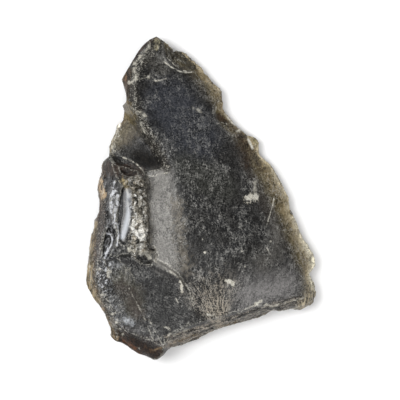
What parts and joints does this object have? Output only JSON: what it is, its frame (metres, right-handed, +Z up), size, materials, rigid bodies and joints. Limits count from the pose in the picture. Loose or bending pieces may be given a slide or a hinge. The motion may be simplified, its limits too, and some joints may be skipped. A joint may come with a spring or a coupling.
{
  "type": "rough obsidian",
  "caption": "Rough dark volcanic glass with a pointed end, broad flake scars, a crusted ridge and thin translucent edges; it lies flat on its underside.",
  "frame": {"origin": "middle of the stone's box, at the level of the surface it rests on", "axes": "+Z up from the surface; +Y along the stone towards its pointed end; +X across it, towards the thin straight edge"},
  "size_m": [0.0464, 0.0646, 0.0122],
  "materials": {
    "obsidian": "satin glass with fine streaks, glossy scars, olive translucent thin edges and beige crust"
  },
  "bodies": {
    "root": {"rough_obsidian": "obsidian"}
  },
  "joints": []
}
